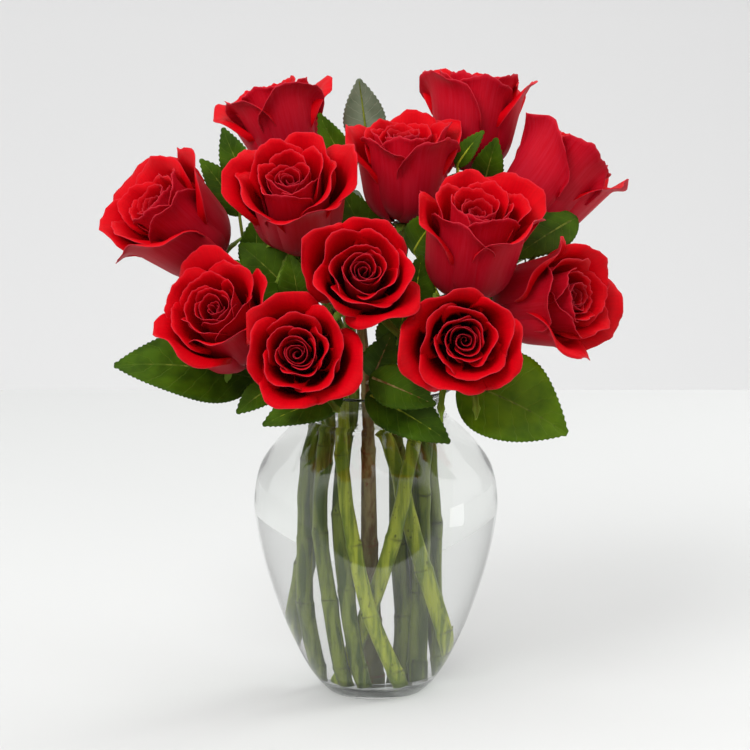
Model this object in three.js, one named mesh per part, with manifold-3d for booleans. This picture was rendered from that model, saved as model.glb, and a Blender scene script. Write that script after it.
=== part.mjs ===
// A dozen cut roses standing in a clear glass ginger vase filled with water.
// Millimetres, +Z up. The origin is the middle of the vase's flat foot.
// Every rose is two solids: its red bloom, and its green stem with the hip, sepals and leaves grown on it.
import * as THREE from "three";
import { mergeVertices } from "three/addons/utils/BufferGeometryUtils.js";
import Module from "manifold-3d";

const wasm = await Module();
wasm.setup();

// ---------- driving dimensions ----------
const VASE_HEIGHT = 197;
const FLOOR_THICKNESS = 8;
const WALL = 3.2;
const WATER_LEVEL = 176;
const GAP = 0.35; // between solids that touch on the real thing
const SLIVER = 0.5; // widest sliver taken out when pieces are fused
const ROUND_SIDES = 24; // the vase and the water share their facets
const FOOT_RADIUS = 4.6; // of a stem where it is cut
const TOP_RADIUS = 3.1; // of a stem under its hip
const STEM_SIDES = 6;
const HEAD_SIDES = 8;
const NECK_Z = 186; // height at which the stems are squeezed together
const NECK_POINT = 3; // the point of a stem's path that lies there
const BEND_SPANS = 5; // from there to the hip
const HOLE_DEEPER = 0.12; // how far a hole goes on below its stem, in spans of the path
const LAST_RANK = 20; // petals are ranked from 0, the outermost, to 20
const MODELLED_RANKS = [0, 1, 2, 3, 4, 9]; // the others lie hidden between these and the core
const GOLDEN_ANGLE = 137.5; // from each petal round to the next
const PETAL_THICKNESS = 0.9;
const LEAF_THICKNESS = 0.9;
const HEAD_HALF = 28; // from the foot of a head of size 1 to its middle
const HIP_LENGTH = 15; // the swelling between a stem and its head
const HIP_WAIST = 7; // from the head down to the middle of the hip
const HIP_RADII = [6.4, 6.8]; // at its middle and at the head
const SEPALS = 5;
const SEPAL_HALF = 3.2;
const LEAF_ARCH = 0.1; // of a leaf's length
const LEAF_FOLD = 0.18; // rise of its edges over its midrib, as a share of its half width
const LEAF_ROWS = [0, 0.22, 0.5, 0.8, 1];
const STALK_RADII = [1.5, 1.4, 1.3];
const STALK_SIDES = 3;

// Outside of the vase, from the foot to the lip: [radius, height].
const VASE_OUTLINE = [
  [31, 0], [38, 7], [47.5, 22], [60, 50], [71, 84], [76.6, 113], [76.6, 130], [72, 147.5],
  [59, 164.5], [46, 176.5], [41, 186], [49, VASE_HEIGHT],
];

// The roses. middle: centre of the head. faces: the way it looks. open: 0 a bud, 1 full blown.
// foot: where its stem is cut. neck: [x, y] where it passes the vase's neck. bow: how far its middle strays
// from the straight line between them, as [x, y].
const ROSES = [
  {
    name: "top_left", middle: [-62, 57, 356.5], faces: [-0.3, 0.1, 0.95],
    size: 1.04, open: 0.9, turn: 20, seed: 1, foot: [-38, 12, 32], neck: [-17, 24], bow: [0, 0],
  },
  {
    name: "top_right", middle: [63, 58, 358.5], faces: [0.1, 0.1, 0.99],
    size: 1.2, open: 0.45, turn: 78, seed: 2, foot: [8, 25, 9.4], neck: [19, 24], bow: [4, 0],
  },
  {
    name: "top_middle", middle: [18, 8, 331], faces: [0, -0.17, 0.98],
    size: 1.16, open: 0.25, turn: 30, seed: 3, foot: [12, 8, 9.4], neck: [6, 10], bow: [2, -2],
  },
  {
    name: "upper_left", middle: [-51, -25, 315], faces: [-0.1, -0.62, 0.78],
    size: 1.24, open: 0.42, turn: 10, seed: 4, foot: [-6, -27, 9.4], neck: [-14, -6], bow: [-7, 1],
  },
  {
    name: "upper_right", middle: [60, -42, 293], faces: [0.12, -0.42, 0.9],
    size: 1.3, open: 0.25, turn: 50, seed: 5, foot: [38, -4, 28], neck: [-2, -9], bow: [0, 0],
  },
  {
    name: "far_left", middle: [-124, 8, 297], faces: [-0.66, -0.4, 0.66],
    size: 1.28, open: 0.5, turn: 100, seed: 6, foot: [-27, 4, 9.4], neck: [-30, 0], bow: [-6, -4],
  },
  {
    name: "far_right", middle: [110, 28, 319], faces: [0.62, 0.1, 0.78],
    size: 1.33, open: 0.3, turn: 90, seed: 7, foot: [29, 8, 12], neck: [28, 13], bow: [-4, 5],
  },
  {
    name: "centre", middle: [-8, -73, 276], faces: [0.05, -0.9, 0.42],
    size: 1.09, open: 0.45, turn: 160, seed: 8, foot: [-1, 19, 9.4], neck: [-5, -29], bow: [0, 0],
  },
  {
    name: "lower_right", middle: [106, -22, 254], faces: [0.76, -0.62, 0.2],
    size: 1.22, open: 0.45, turn: 25, seed: 9, foot: [20, 2, 9.4], neck: [30, -6], bow: [-4, 6],
  },
  {
    name: "lower_left", middle: [-93, -37, 242], faces: [-0.3, -0.72, 0.6],
    size: 1.2, open: 0.37, turn: 80, seed: 10, foot: [-16, -22, 9.4], neck: [-28, -12], bow: [-5, -1],
  },
  {
    name: "front_right", middle: [52, -80, 240], faces: [0.05, -0.98, 0.15],
    size: 1.05, open: 0.54, turn: 192, seed: 11, foot: [-20, -11, 9.4], neck: [27, -16], bow: [3, -2.5],
  },
  {
    name: "front_left", middle: [-46, -84, 231], faces: [-0.05, -0.95, 0.28],
    size: 1.06, open: 0.55, turn: 341, seed: 12, foot: [14, -24, 9.4], neck: [-20, -24], bow: [-8, -3],
  },
];

// The leaves. rose: the stem it grows on. from: the stretch of that stem's bend its stalk leaves, 0 to 5.
// base and tip: the ends of its blade. face: the way its upper side looks. width: at its widest.
const LEAVES = [
  {
    rose: "top_middle", from: 4, base: [-5, 62, 340], tip: [-11, 70, 383],
    face: [0, 1, -0.1], width: 27,
  },
  {
    rose: "top_left", from: 4, base: [-14, 42, 326], tip: [-36, 40, 364],
    face: [-0.5, -0.7, 0.5], width: 20,
  },
  {
    rose: "top_left", from: 3, base: [-76, 14, 316], tip: [-96, 20, 357],
    face: [-0.3, -0.9, 0.2], width: 22,
  },
  {
    rose: "far_left", from: 4, base: [-86, 44, 298], tip: [-112, 46, 334],
    face: [0, -0.8, 0.6], width: 21,
  },
  {
    rose: "upper_left", from: 2, base: [-46, 0, 248], tip: [-86, 16, 284],
    face: [0, -0.9, 0.45], width: 36,
  },
  {
    rose: "lower_left", from: 4, base: [-46, -38, 250], tip: [-53, -36, 285],
    face: [0.1, -0.95, 0.3], width: 24,
  },
  {
    rose: "lower_left", from: 3, base: [-75, 2, 200], tip: [-164, -10, 211],
    face: [0, -0.8, 0.6], width: 50,
  },
  {
    rose: "lower_left", from: 2, base: [-62, -34, 203], tip: [-86, -42, 187],
    face: [0, -0.8, 0.6], width: 17,
  },
  {
    rose: "front_left", from: 2, base: [-20, -58, 201], tip: [-69, -68, 185],
    face: [0, -0.8, 0.6], width: 26,
  },
  {
    rose: "front_right", from: 2, base: [-6, -60, 203], tip: [45, -72, 175],
    face: [0, -0.85, 0.5], width: 32,
  },
  {
    rose: "centre", from: 1, base: [-4, -72, 216], tip: [36, -80, 200],
    face: [0, -0.95, 0.3], width: 26,
  },
  {
    rose: "lower_right", from: 2, base: [51, -34, 206], tip: [118, -46, 175],
    face: [0.1, -0.85, 0.5], width: 60,
  },
  {
    rose: "lower_right", from: 4, base: [126, 8, 302], tip: [84, -4, 277],
    face: [0, -0.9, 0.4], width: 26,
  },
  {
    rose: "upper_right", from: 4, base: [23, -4, 281], tip: [41, -16, 309],
    face: [-0.2, -0.9, 0.4], width: 24,
  },
  {
    rose: "far_right", from: 4, base: [68, 36, 317], tip: [76, 26, 350],
    face: [0, -0.9, 0.4], width: 20,
  },
  {
    rose: "upper_right", from: 4, base: [50, 4, 334], tip: [67, 2, 357],
    face: [0, -0.8, 0.6], width: 12,
  },
  {
    rose: "upper_right", from: 3, base: [23, -25, 247], tip: [28, -34, 285],
    face: [0, -0.95, 0.3], width: 24,
  },
  {
    rose: "top_middle", from: 2, base: [4, 32, 264], tip: [-24, 32, 320],
    face: [0, -0.95, 0.3], width: 30,
  },
  {
    rose: "far_left", from: 4, base: [-76, 24, 262], tip: [-75, 26, 302],
    face: [0, -0.95, 0.3], width: 22,
  },
  {
    rose: "upper_right", from: 2, base: [11, -38, 222], tip: [20, -44, 262],
    face: [0, -0.95, 0.3], width: 28,
  },
  {
    rose: "centre", from: 2, base: [-2, -58, 212], tip: [10, -64, 242],
    face: [0, -0.95, 0.3], width: 22,
  },
  {
    rose: "far_left", from: 3, base: [-80, 40, 250], tip: [-128, 60, 262],
    face: [-0.2, 0.6, 0.75], width: 32,
  },
  {
    rose: "top_left", from: 2, base: [-52, 62, 262], tip: [-84, 96, 280],
    face: [-0.2, 0.8, 0.6], width: 32,
  },
  {
    rose: "top_right", from: 2, base: [40, 66, 262], tip: [52, 108, 276],
    face: [0, 0.7, 0.7], width: 32,
  },
  {
    rose: "top_middle", from: 3, base: [0, 60, 282], tip: [-16, 98, 306],
    face: [0, 0.7, 0.7], width: 30,
  },
  {
    rose: "far_right", from: 3, base: [84, 52, 262], tip: [124, 80, 268],
    face: [0.3, 0.6, 0.75], width: 34,
  },
  {
    rose: "top_left", from: 1, base: [-34, 56, 216], tip: [-66, 92, 212],
    face: [-0.2, 0.7, 0.7], width: 32,
  },
  {
    rose: "top_right", from: 1, base: [34, 56, 216], tip: [56, 96, 214],
    face: [0.2, 0.7, 0.7], width: 32,
  },
];

// ---------- shared maths ----------
const degrees = THREE.MathUtils.degToRad;
const vector = ([x, y, z]) => new THREE.Vector3(x, y, z);

const smooth = (x) => {
  const t = Math.min(1, Math.max(0, x));
  return t * t * (3 - 2 * t);
};

// A fixed draw from -1 to 1 for each seed and index.
const draw = (seed, index) => {
  const wave = Math.sin(seed * 12.9898 + index * 78.233) * 43758.5453;
  return 2 * (wave - Math.floor(wave)) - 1;
};

// ---------- solids ----------
// A closed three.js geometry as a solid.
function solidOf(geometry) {
  const bare = geometry.clone();
  bare.deleteAttribute("normal");
  bare.deleteAttribute("uv");
  const merged = mergeVertices(bare, 1e-4);
  return new wasm.Manifold(
    new wasm.Mesh({
      numProp: 3,
      vertProperties: merged.attributes.position.array,
      triVerts: new Uint32Array(merged.index.array),
    }),
  );
}

// One body of several, with the slivers that fusing leaves taken out.
const fused = (solids) => wasm.Manifold.union(solids).asOriginal().simplify(SLIVER);

// The largest single body of a solid, without the crumbs that a boolean can leave.
function wholeOf(solid) {
  const bodies = solid.decompose();
  return bodies.reduce((most, body) => (body.volume() > most.volume() ? body : most));
}

// Where fusing leaves two corners at one point, the second is drawn a little way in towards its own faces.
function partPinches(vertices, corners) {
  const seen = new Set();
  for (let v = 0; v < vertices.length; v += 3) {
    const key = [0, 1, 2].map((k) => vertices[v + k].toFixed(2)).join();
    if (seen.has(key)) {
      const around = [];
      for (let t = 0; t < corners.length; t += 3) {
        const face = corners.slice(t, t + 3);
        if (face.includes(v / 3)) around.push(...face);
      }
      for (const k of [0, 1, 2]) {
        const middle = around.reduce((sum, corner) => sum + vertices[3 * corner + k], 0) / around.length;
        vertices[v + k] += 0.05 * (middle - vertices[v + k]);
      }
    }
    seen.add(key);
  }
}

function meshOf(name, solid, material) {
  const { vertProperties, triVerts } = solid.getMesh();
  partPinches(vertProperties, triVerts);
  const geometry = new THREE.BufferGeometry()
    .setAttribute("position", new THREE.BufferAttribute(vertProperties, 3))
    .setIndex(new THREE.BufferAttribute(triVerts, 1));
  geometry.computeVertexNormals();
  const mesh = new THREE.Mesh(geometry, material);
  mesh.name = name;
  return mesh;
}

// A thin shell that follows place(u, s), u across from -1 to 1 and s along the rows given.
// Both faces are split into the same triangles, so they keep apart wherever it waves.
function blade(place, columns, rows, thickness) {
  const sheet = new THREE.PlaneGeometry(2, 1, columns, rows.length - 1);
  const across = columns + 1;
  const step = 1e-3;
  const front = [];
  const back = [];
  for (let row = 0; row < rows.length; row++) {
    for (let column = 0; column < across; column++) {
      const u = (2 * column) / columns - 1;
      const s = rows[row];
      const here = place(u, s);
      const du = place(u + step, s).sub(place(u - step, s));
      const ds = place(u, s + step).sub(place(u, s - step));
      const offset = du.cross(ds).normalize().multiplyScalar(thickness / 2);
      front.push(here.clone().add(offset));
      back.push(here.clone().sub(offset));
    }
  }
  const count = front.length;
  const faces = [];
  const grid = sheet.index.array;
  for (let i = 0; i < grid.length; i += 3) {
    const [a, b, c] = [grid[i], grid[i + 1], grid[i + 2]];
    faces.push(a, c, b, a + count, b + count, c + count);
  }
  const rim = [];
  for (let column = 0; column < columns; column++) rim.push(column);
  for (let row = 0; row < rows.length - 1; row++) rim.push(row * across + columns);
  for (let column = columns; column > 0; column--) rim.push((rows.length - 1) * across + column);
  for (let row = rows.length - 1; row > 0; row--) rim.push(row * across);
  rim.forEach((a, i) => {
    const b = rim[(i + 1) % rim.length];
    faces.push(b, a, a + count, b, a + count, b + count);
  });
  return solidOf(
    new THREE.BufferGeometry().setFromPoints([...front, ...back]).setIndex(faces),
  );
}

// A closed tube through the points, one radius for each, its sides carried along without twisting.
function tube(points, radii, sides) {
  const last = points.length - 1;
  const drum = new THREE.CylinderGeometry(1, 1, last, sides, last);
  drum.rotateX(Math.PI / 2).translate(0, 0, last / 2);
  let side = new THREE.Vector3(1, 0, 0);
  const turns = points.map((point, i) => {
    const along = points[Math.min(last, i + 1)].clone().sub(points[Math.max(0, i - 1)]).normalize();
    side = side.clone().addScaledVector(along, -side.dot(along)).normalize();
    return [side, along.cross(side)];
  });
  const { position } = drum.attributes;
  const corner = new THREE.Vector3();
  for (let v = 0; v < position.count; v++) {
    corner.fromBufferAttribute(position, v);
    const ring = Math.round(corner.z);
    const [across, up] = turns[ring];
    const place = points[ring].clone()
      .addScaledVector(across, radii[ring] * corner.x)
      .addScaledVector(up, radii[ring] * corner.y);
    position.setXYZ(v, place.x, place.y, place.z);
  }
  return solidOf(drum);
}

// A closed solid turned from a profile of [radius, height].
function turned(profile, sides) {
  const points = profile.map(([r, z]) => new THREE.Vector2(r, z));
  return solidOf(new THREE.LatheGeometry(points, sides).rotateX(Math.PI / 2));
}

// ---------- the vase and the water ----------
// The inside of the vase, set in from its outline, from the floor up to the lip.
function insideOutline(inset) {
  const inside = VASE_OUTLINE.filter(([, z]) => z > FLOOR_THICKNESS + 2).map(([r, z]) => [r - inset, z]);
  return [[38.5 - inset, FLOOR_THICKNESS + inset - WALL], ...inside];
}

function makeVase() {
  const inside = insideOutline(WALL).reverse();
  return turned([[0, 0], ...VASE_OUTLINE, ...inside, [0, FLOOR_THICKNESS]], ROUND_SIDES);
}

// The water, with a plain hole round each stem.
function makeWater() {
  const wall = insideOutline(WALL + GAP).filter(([, z]) => z < WATER_LEVEL - 1);
  const rim = [46.6 - WALL - GAP, WATER_LEVEL];
  const holes = ROSES.map(({ path, radii }) => {
    const below = path[0].clone().lerp(path[1], -HOLE_DEEPER);
    const around = radii.slice(0, NECK_POINT + 1).map((radius) => radius + GAP * 1.2);
    return tube([below, ...path.slice(1, NECK_POINT + 1)], around, STEM_SIDES);
  });
  const body = turned([[0, FLOOR_THICKNESS + GAP], ...wall, rim, [0, WATER_LEVEL]], ROUND_SIDES);
  return body.subtract(fused(holes));
}

// ---------- the blooms ----------
// One petal's make-up. out runs from 0 at the heart to 1 at the outermost, guard from 0 half way out to 1.
function petalOf(rose, rank) {
  const out = 1 - rank / LAST_RANK;
  const guard = Math.max(0, 2 * out - 1);
  const heart = 1 - Math.min(1, 2 * out);
  const luck = (index) => draw(rose.seed, rank * 7 + index);
  const { size, open } = rose;
  return {
    azimuth: degrees(rose.turn + GOLDEN_ANGLE * rank + 9 * luck(0)),
    half: degrees(66 + 95 * heart + 6 * luck(1)),
    narrowing: 0.14 * Math.min(1, 1.6 * out),
    length: (38 + 23 * out ** 0.9 + 3 * guard) * size * (1 + 0.035 * luck(2)),
    shoulder: 0.22 + 0.16 * guard,
    tip: 0.02 + 0.09 * guard,
    root: [(1.2 + 4.5 * out) * size, 7 * (1 - out) * size],
    base: 14 + 62 * out ** 0.8,
    cup: 0.3 + 0.16 * out,
    side: -2 + 9 * out * (1 - guard) + 5 * guard + 14 * open * guard ** 1.2 + 2.2 * luck(3),
    lip: 6 + 26 * out + 52 * open * guard ** 1.1 + 9 * luck(4) * out,
    corner: (8 + 12 * out + 38 * guard) * (0.5 + 0.6 * open),
    curlFrom: 0.86 - 0.14 * guard,
    ripple: 2 + 9 * out,
    phase: 3.1 * luck(5),
    spiral: (1.1 + 0.7 * out) * size,
    point: 0.02 + 0.07 * guard,
    wave: (0.35 + 0.8 * out) * size,
    fold: 3.1 * luck(6),
  };
}

// How far the petal leans out from the head's axis, in degrees, at s along it and u across.
function leanAt(petal, u, s) {
  const curlFrom = petal.curlFrom - 0.1 * u * u;
  const ripple = petal.ripple * Math.sin(2.2 * Math.PI * u + petal.phase);
  const lip = petal.lip + petal.corner * Math.abs(u) ** 1.5 + ripple;
  const lean = petal.base + (petal.side - petal.base) * smooth(s / petal.cup);
  return lean + (lip - lean) * smooth((s - curlFrom) / (1.02 - curlFrom));
}

// A point of the petal in its head's own frame, found by walking up it at its changing lean.
function petalPoint(petal, u, s) {
  const steps = 30;
  const reach = Math.abs(u);
  const rounding = 1 - Math.sqrt(Math.max(0, 1 - reach ** 3));
  const length = petal.length * (1 - petal.shoulder * rounding - petal.tip * reach ** 1.1);
  let [r, z] = petal.root;
  for (let i = 0; i < steps; i++) {
    const lean = degrees(leanAt(petal, u, ((i + 0.5) / steps) * s));
    r += ((length * s) / steps) * Math.sin(lean);
    z += ((length * s) / steps) * Math.cos(lean);
  }
  const grown = smooth(s / 0.3);
  r = (r + petal.spiral * u * grown) * (1 - petal.point * u * u * grown);
  r += petal.wave * s * s * Math.sin(1.4 * Math.PI * u + petal.fold);
  const angle = petal.azimuth + u * petal.half * (1 - petal.narrowing * smooth((s - 0.55) / 0.5));
  return new THREE.Vector3(r * Math.cos(angle), r * Math.sin(angle), z);
}

// A core keeps the petals' feet together and fills the heart.
function makeBloom(rose) {
  const core = [[0, -0.5], [8, -0.5], [16, 4], [18, 12], [14, 26], [4, 42], [0, 42]];
  const solids = [turned(core.map(([r, z]) => [r * rose.size, z * rose.size]), HEAD_SIDES)];
  for (const rank of MODELLED_RANKS) {
    const petal = petalOf(rose, rank);
    const rows = rank < 3 ? [0.14, 0.44, 0.76, 1] : rank < 5 ? [0.16, 0.74, 1] : [0.4, 1];
    const columns = rank < 5 ? 4 : 6;
    solids.push(blade((u, s) => petalPoint(petal, u, s), columns, rows, PETAL_THICKNESS));
  }
  return wholeOf(fused(solids));
}

// ---------- the stems, hips, sepals and leaves ----------
// Almost straight through the water, then bent over to carry the head.
function stemPath(rose) {
  const foot = vector(rose.foot);
  const neck = new THREE.Vector3(...rose.neck, NECK_Z);
  const bow = new THREE.Vector3(...rose.bow, 0);
  const rise = neck.clone().sub(foot).addScaledVector(bow, -4).normalize();
  const hip = rose.root.clone().addScaledVector(rose.faces, -HIP_LENGTH);
  const span = neck.distanceTo(hip);
  const bend = new THREE.CubicBezierCurve3(
    neck,
    neck.clone().addScaledVector(rise, span * 0.45),
    hip.clone().addScaledVector(rose.faces, -span * 0.25),
    hip,
  );
  const under = (share) => foot.clone().lerp(neck, share).addScaledVector(bow, 4 * share * (1 - share));
  return [foot, under(1 / NECK_POINT), under(2 / NECK_POINT), ...bend.getPoints(BEND_SPANS)];
}

// The stem as one tube that swells into the hip under the head.
function makeStalk(rose) {
  const along = (z) => rose.root.clone().addScaledVector(rose.faces, z);
  const hip = [along(-HIP_LENGTH), along(-HIP_WAIST), along(-0.5 - GAP)];
  const radii = [...rose.radii.slice(0, -1), TOP_RADIUS, ...HIP_RADII];
  return tube([...rose.path.slice(0, -1), ...hip], radii, STEM_SIDES);
}

// Five narrow green sepals, bent back under the head.
function makeSepals(rose) {
  const matrix = new THREE.Matrix4().compose(rose.root, rose.aim, new THREE.Vector3(1, 1, 1));
  return Array.from({ length: SEPALS }, (_, i) => {
    const angle = degrees(rose.turn + (360 / SEPALS) * i + 12 * draw(rose.seed, 200 + i));
    const length = 24 + 5 * draw(rose.seed, 210 + i);
    const start = 96 + 8 * draw(rose.seed, 220 + i);
    const curl = 34 + 22 * draw(rose.seed, 230 + i);
    const out = new THREE.Vector3(Math.cos(angle), Math.sin(angle), 0);
    const across = new THREE.Vector3(-Math.sin(angle), Math.cos(angle), 0);
    const place = (u, s) => {
      const lean = degrees(start + curl * s * 0.5);
      const half = SEPAL_HALF * Math.max(0, 1 - s) ** 0.8 + 0.35;
      return out.clone().multiplyScalar(4.5 + length * s * Math.sin(lean))
        .addScaledVector(across, u * half)
        .add(new THREE.Vector3(0, 0, -2.4 + length * s * Math.cos(lean)));
    };
    return blade(place, 1, [0.001, 0.999], LEAF_THICKNESS).transform(matrix.elements);
  });
}

// A toothed blade from base to tip, arched along its length and folded up at its midrib.
function makeLeaf(leaf, path) {
  const base = vector(leaf.base);
  const tip = vector(leaf.tip);
  const along = tip.clone().sub(base);
  const length = along.length();
  along.normalize();
  const face = vector(leaf.face).addScaledVector(along, -vector(leaf.face).dot(along)).normalize();
  const across = along.clone().cross(face);
  const place = (u, s) => {
    const outline = Math.sin(Math.PI * Math.min(1, Math.max(0, s)) ** 0.72);
    const half = 0.5 * leaf.width * Math.max(0.04, outline) ** 0.85;
    const lift = 4 * LEAF_ARCH * length * s * (1 - s) + LEAF_FOLD * half * Math.abs(u);
    return base.clone()
      .addScaledVector(along, length * s)
      .addScaledVector(across, u * half)
      .addScaledVector(face, lift);
  };
  const toothed = (u, s) => {
    const row = LEAF_ROWS.findIndex((share) => Math.abs(share - s) < 1e-6);
    return place(u * (row > 0 && row % 2 ? 1.06 : 0.94), s);
  };
  const stalkFrom = path[NECK_POINT + leaf.from];
  const stalkTo = place(0, 0.06);
  const sag = -0.1 * stalkFrom.distanceTo(stalkTo);
  const knee = stalkFrom.clone().lerp(stalkTo, 0.55).addScaledVector(face, sag);
  return [
    blade(toothed, 2, LEAF_ROWS, LEAF_THICKNESS),
    tube([stalkFrom, knee, stalkTo], STALK_RADII, STALK_SIDES),
  ];
}

function makeStem(rose) {
  const leaves = LEAVES.filter((leaf) => leaf.rose === rose.name);
  return wholeOf(
    fused([
      makeStalk(rose),
      ...makeSepals(rose),
      ...leaves.flatMap((leaf) => makeLeaf(leaf, rose.path)),
    ]),
  );
}

// ---------- the arrangement ----------
const glass = new THREE.MeshStandardMaterial({
  color: 0xe8eeee, roughness: 0.03, metalness: 0, transparent: true, opacity: 0.35,
});
const water = new THREE.MeshStandardMaterial({
  color: 0xdfe8e4, roughness: 0.02, metalness: 0, transparent: true, opacity: 0.4,
});
const petalRed = new THREE.MeshStandardMaterial({ color: 0xc00414, roughness: 0.55, metalness: 0 });
const stemGreen = new THREE.MeshStandardMaterial({ color: 0x4a6420, roughness: 0.5, metalness: 0 });

for (const rose of ROSES) {
  rose.faces = vector(rose.faces).normalize();
  rose.aim = new THREE.Quaternion().setFromUnitVectors(new THREE.Vector3(0, 0, 1), rose.faces);
  rose.root = vector(rose.middle).addScaledVector(rose.faces, -HEAD_HALF * rose.size);
  rose.path = stemPath(rose);
  const last = rose.path.length - 1;
  rose.radii = rose.path.map((_, i) => FOOT_RADIUS + ((TOP_RADIUS - FOOT_RADIUS) * i) / last);
}

const arrangement = new THREE.Group();
arrangement.add(meshOf("vase", makeVase(), glass));
arrangement.add(meshOf("water", wholeOf(makeWater()), water));
for (const rose of ROSES) {
  const bloom = meshOf("bloom_" + rose.name, makeBloom(rose), petalRed);
  bloom.position.copy(rose.root);
  bloom.quaternion.copy(rose.aim);
  arrangement.add(bloom);
  arrangement.add(meshOf("stem_" + rose.name, makeStem(rose), stemGreen));
}

export default arrangement;
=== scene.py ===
"""A dozen cut red roses in a clear glass ginger-jar vase filled with water.

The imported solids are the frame. Every piece here is the fine form of one of its nodes.
Sizes are in millimetres until a piece is finished, and then in metres as the frame is.
"""
import bisect
import math

import bmesh
import bpy
from mathutils import Matrix, Vector


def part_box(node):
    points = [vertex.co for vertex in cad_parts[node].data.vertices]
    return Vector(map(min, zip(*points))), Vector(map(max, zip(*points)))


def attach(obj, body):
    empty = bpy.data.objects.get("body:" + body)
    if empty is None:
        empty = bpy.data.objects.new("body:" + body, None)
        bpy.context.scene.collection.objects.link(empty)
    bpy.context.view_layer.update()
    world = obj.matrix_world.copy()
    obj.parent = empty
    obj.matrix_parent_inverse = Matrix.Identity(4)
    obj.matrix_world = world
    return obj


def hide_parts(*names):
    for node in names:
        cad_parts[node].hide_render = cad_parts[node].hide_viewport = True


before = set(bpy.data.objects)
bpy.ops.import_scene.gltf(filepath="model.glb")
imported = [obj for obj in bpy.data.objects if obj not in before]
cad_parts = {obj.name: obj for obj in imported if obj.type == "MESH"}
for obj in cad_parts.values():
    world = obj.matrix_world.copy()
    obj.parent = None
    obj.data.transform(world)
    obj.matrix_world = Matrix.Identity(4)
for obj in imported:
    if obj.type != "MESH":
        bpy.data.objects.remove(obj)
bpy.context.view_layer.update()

MM = 0.001

# ---------------------------------------------------------------------------
# Camera. The photograph looks slightly down on the vase from nearly two metres away,
# with a long lens that is level with the middle of the arrangement.
# ---------------------------------------------------------------------------
AIM = Vector((-0.6, 0, 203)) * MM
CAMERA_DISTANCE = 1900 * MM
CAMERA_ELEVATION = math.radians(11)
SENSOR_MM = 36
LENS_MM = 144.8

camera_data = bpy.data.cameras.new("camera")
camera_data.sensor_width = SENSOR_MM
camera_data.lens = LENS_MM
camera_data.clip_end = 20
camera = bpy.data.objects.new("camera", camera_data)
bpy.context.scene.collection.objects.link(camera)
away = Vector((0, -math.cos(CAMERA_ELEVATION), math.sin(CAMERA_ELEVATION)))
camera.location = AIM + away * CAMERA_DISTANCE
camera.rotation_euler = (math.pi / 2 - CAMERA_ELEVATION, 0, 0)
bpy.context.scene.camera = camera

# ---------------------------------------------------------------------------
# Table and wall. A white table top ends in a straight edge behind the vase,
# against a wall of very pale grey.
# ---------------------------------------------------------------------------
TABLE_BACK = 970 * MM
TABLE_HALF = 2.6
TABLE_FRONT = -0.2
WALL_Y = 3.4
WALL_HEIGHT = 3.2


def linear(hex_colour):
    """An sRGB hex colour as linear RGBA."""
    channels = [int(hex_colour[i : i + 2], 16) / 255 for i in (1, 3, 5)]
    return [c / 12.92 if c <= 0.04045 else ((c + 0.055) / 1.055) ** 2.4 for c in channels] + [1]


def add(material, kind, settings=None, **links):
    """Adds a node of a kind, with settings by attribute and links or values by socket name."""
    node = material.node_tree.nodes.new("ShaderNode" + kind)
    for name, value in (settings or {}).items():
        setattr(node, name, value)
    for name, value in links.items():
        key = int(name[1:]) if name[0] == "_" else name.replace("_", " ")
        socket = node.inputs[key]
        if isinstance(value, bpy.types.NodeSocket):
            material.node_tree.links.new(value, socket)
        else:
            socket.default_value = value
    return node


def new_material(name):
    """An empty node material and its output's surface socket."""
    material = bpy.data.materials.new(name)
    material.use_nodes = True
    material.node_tree.nodes.clear()
    return material, add(material, "OutputMaterial").inputs["Surface"]


def finish_piece(name, bm, materials, smooth=True):
    """The bmesh, made in millimetres, as a scene object at the origin in metres."""
    bmesh.ops.scale(bm, vec=(MM, MM, MM), verts=bm.verts)
    mesh = bpy.data.meshes.new(name)
    bm.to_mesh(mesh)
    bm.free()
    for material in materials:
        mesh.materials.append(material)
    mesh.polygons.foreach_set("use_smooth", [smooth] * len(mesh.polygons))
    obj = bpy.data.objects.new(name, mesh)
    bpy.context.scene.collection.objects.link(obj)
    return obj


# White matt paint: even, with no gloss to pick up the lights.
def matt_paint(name, colour):
    material, surface = new_material(name)
    shader = add(material, "BsdfPrincipled", Base_Color=linear(colour), Roughness=0.75)
    material.node_tree.links.new(shader.outputs[0], surface)
    return material


table_mesh = bmesh.new()
bmesh.ops.create_grid(table_mesh, x_segments=1, y_segments=1, size=1)
for vertex in table_mesh.verts:
    vertex.co.x *= TABLE_HALF / MM
    vertex.co.y = (TABLE_FRONT if vertex.co.y < 0 else TABLE_BACK) / MM
table = finish_piece("table", table_mesh, [matt_paint("white painted table", "#d6d7d6")])

wall_mesh = bmesh.new()
bmesh.ops.create_grid(wall_mesh, x_segments=1, y_segments=1, size=1)
for vertex in wall_mesh.verts:
    vertex.co = Vector((vertex.co.x * TABLE_HALF * 2, WALL_Y, vertex.co.y * WALL_HEIGHT)) / MM
wall = finish_piece("wall", wall_mesh, [matt_paint("pale grey wall", "#f2f2f2")])

# ---------------------------------------------------------------------------
# Light. A broad soft light from high in front on the left, a weaker one from behind on the right
# that throws the vase's shadow to the left, a fill from the front, a row for the wall, a small
# card that only the glass reflects, and pale light from the room all round, which is dim behind the
# camera so that glass and leaves keep their colour.
# ---------------------------------------------------------------------------
def soft_light(name, place, target, size, watts, only_gloss=False):
    """A square soft light that faces a target, and lights either all but the gloss or the gloss alone."""
    data = bpy.data.lights.new(name, "AREA")
    data.shape = "SQUARE"
    data.size = size
    data.energy = watts
    light = bpy.data.objects.new(name, data)
    bpy.context.scene.collection.objects.link(light)
    light.location = place
    light.rotation_euler = (target - light.location).to_track_quat("-Z", "Y").to_euler()
    light.visible_camera = False
    light.visible_transmission = False
    light.visible_glossy = only_gloss
    light.visible_diffuse = not only_gloss


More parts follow.
